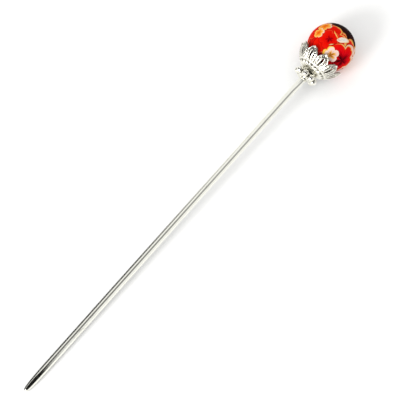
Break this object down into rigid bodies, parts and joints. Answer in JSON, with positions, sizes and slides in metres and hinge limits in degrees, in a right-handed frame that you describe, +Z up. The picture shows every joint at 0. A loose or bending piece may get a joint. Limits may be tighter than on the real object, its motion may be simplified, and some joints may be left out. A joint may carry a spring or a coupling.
{
  "type": "decorative hair pin",
  "caption": "Straight round hair stick with a blunt bullet nose and a glossy printed bead seated in a petalled metal cup above a small ball rosette.",
  "frame": {"origin": "centre of the lying pin's footprint box, on the surface it lies on", "axes": "+X runs along the pin from its nose to its bead, +Z is up from the surface it lies on"},
  "size_m": [0.1392, 0.0148, 0.0143],
  "materials": {
    "polished_plate": "mirror-polished silver plate",
    "cast_plate": "bright plate over a fine cast relief",
    "printed_lacquer": "printed flowers on black under clear gloss lacquer",
    "clear_epoxy": "cured clear adhesive"
  },
  "bodies": {
    "root": {"shaft": "polished_plate", "ball_rosette": "cast_plate", "lotus_cup": "cast_plate", "bead": "printed_lacquer", "adhesive_bond": "clear_epoxy"}
  },
  "joints": []
}
